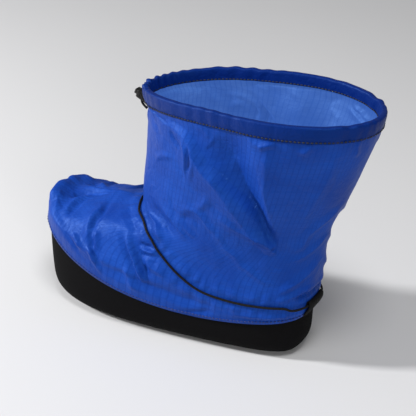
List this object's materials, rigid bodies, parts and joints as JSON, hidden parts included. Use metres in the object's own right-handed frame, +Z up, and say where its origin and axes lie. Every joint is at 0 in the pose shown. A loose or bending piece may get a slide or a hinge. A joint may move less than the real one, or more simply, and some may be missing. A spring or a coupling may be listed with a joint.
{
  "type": "winter overshoe",
  "caption": "Right winter overshoe of ripstop cloth with a drawcord collar, an ankle drawcord and a turned-up grip-cloth sole.",
  "frame": {"origin": "on the floor under the middle of the sole's length, on the flat underside", "axes": "+X to the toe, +Y to the wearer's left, +Z up out of the collar"},
  "size_m": [0.3453, 0.1277, 0.2557],
  "materials": {
    "shell_cloth": "semi-gloss ripstop nylon",
    "sole_cloth": "matt textured grip cloth",
    "footbed_foam": "matt closed-cell foam",
    "webbing": "matt woven strap",
    "braid": "matt braided cord",
    "lock_moulding": "satin moulded plastic"
  },
  "bodies": {
    "shoe": {"outsole": "sole_cloth", "insole": "footbed_foam", "upper": "shell_cloth", "heel_tab": "webbing", "ankle_cord": "braid", "collar_cord": "braid", "ankle_lock_body": "lock_moulding", "collar_lock_body": "lock_moulding"},
    "ankle_button": {"ankle_lock_button": "lock_moulding"},
    "collar_button": {"collar_lock_button": "lock_moulding"}
  },
  "joints": [
    {"name": "ankle_button_press", "type": "slide", "parent": "shoe", "child": "ankle_button", "axis": [0.4777, -0.313, -0.8209], "range_m": [0, 0.0018], "stiffness_N_per_m": 400},
    {"name": "collar_button_press", "type": "slide", "parent": "shoe", "child": "collar_button", "axis": [-0.9185, 0, -0.3953], "range_m": [0, 0.0018], "stiffness_N_per_m": 400}
  ]
}
